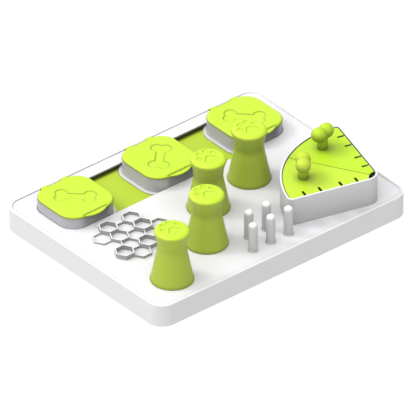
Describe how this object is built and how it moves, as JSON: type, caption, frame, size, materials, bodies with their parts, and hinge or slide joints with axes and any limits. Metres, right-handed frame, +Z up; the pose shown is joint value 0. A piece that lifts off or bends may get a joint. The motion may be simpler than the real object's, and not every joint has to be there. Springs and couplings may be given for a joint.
{
  "type": "dog puzzle feeder",
  "caption": "Shallow board that hides treats in sliding lidded cups, under lift-off cones, in a honeycomb, between pegs and in a fan-shaped well with lids.",
  "frame": {"origin": "on the floor, under the middle of the casing", "axes": "+Z up, +X along the long side, +Y towards the row of cups"},
  "size_m": [0.4, 0.3, 0.1045],
  "materials": {
    "white_plastic": "satin moulded",
    "lime_plastic": "satin moulded",
    "olive_plastic": "satin moulded",
    "grey_plastic": "satin moulded",
    "steel": "zinc plated",
    "rubber": "matte"
  },
  "bodies": {
    "base": {"top_shell": "white_plastic", "bottom_plate": "white_plastic", "rubber_feet": "rubber", "casing_screws": "steel", "slide_track": "lime_plastic", "track_screws": "steel", "comb_back_left": "white_plastic", "comb_back_right": "white_plastic", "comb_front_left": "white_plastic", "comb_front_right": "white_plastic", "comb_low": "white_plastic", "treat_pegs": "white_plastic", "treat_seats": "white_plastic", "fan_well": "white_plastic", "well_screws": "steel"},
    "cup_left": {"cup_left": "grey_plastic", "hinge_pin_left": "steel"},
    "lid_left": {"lid_left": "lime_plastic"},
    "cup_middle": {"cup_middle": "grey_plastic", "hinge_pin_middle": "steel"},
    "lid_middle": {"lid_middle": "lime_plastic"},
    "cup_right": {"cup_right": "grey_plastic", "hinge_pin_right": "steel"},
    "lid_right": {"lid_right": "lime_plastic"},
    "cone_front_left": {"cone_front_left": "olive_plastic"},
    "cone_left": {"cone_left": "olive_plastic"},
    "cone_middle": {"cone_middle": "olive_plastic"},
    "cone_right": {"cone_right": "olive_plastic"},
    "fan_lid_left": {"fan_lid_left": "lime_plastic", "bone_knob_left": "lime_plastic", "knob_screw_left": "steel"},
    "fan_lid_right": {"fan_lid_right": "lime_plastic", "bone_knob_right": "lime_plastic", "knob_screw_right": "steel"}
  },
  "joints": [
    {"name": "slide_cup_left", "type": "slide", "parent": "base", "child": "cup_left", "axis": [1, 0, 0], "range_m": [0, 0.046]},
    {"name": "flip_lid_left", "type": "hinge", "parent": "cup_left", "child": "lid_left", "pos_m": [-0.135, 0.1292, 0.0452], "axis": [-1, 0, 0], "range_deg": [0, 110]},
    {"name": "slide_cup_middle", "type": "slide", "parent": "base", "child": "cup_middle", "axis": [1, 0, 0], "range_m": [-0.046, 0.046]},
    {"name": "flip_lid_middle", "type": "hinge", "parent": "cup_middle", "child": "lid_middle", "pos_m": [0, 0.1292, 0.0452], "axis": [-1, 0, 0], "range_deg": [0, 110]},
    {"name": "slide_cup_right", "type": "slide", "parent": "base", "child": "cup_right", "axis": [1, 0, 0], "range_m": [-0.046, 0]},
    {"name": "flip_lid_right", "type": "hinge", "parent": "cup_right", "child": "lid_right", "pos_m": [0.135, 0.1292, 0.0452], "axis": [-1, 0, 0], "range_deg": [0, 110]},
    {"name": "lift_cone_front_left", "type": "slide", "parent": "base", "child": "cone_front_left", "axis": [0, 0, 1], "range_m": [0, 0.08]},
    {"name": "lift_cone_left", "type": "slide", "parent": "base", "child": "cone_left", "axis": [0, 0, 1], "range_m": [0, 0.08]},
    {"name": "lift_cone_middle", "type": "slide", "parent": "base", "child": "cone_middle", "axis": [0, 0, 1], "range_m": [0, 0.08]},
    {"name": "lift_cone_right", "type": "slide", "parent": "base", "child": "cone_right", "axis": [0, 0, 1], "range_m": [0, 0.08]},
    {"name": "lift_fan_lid_left", "type": "slide", "parent": "base", "child": "fan_lid_left", "axis": [0, 0, 1], "range_m": [0, 0.06]},
    {"name": "lift_fan_lid_right", "type": "slide", "parent": "base", "child": "fan_lid_right", "axis": [0, 0, 1], "range_m": [0, 0.06]}
  ]
}
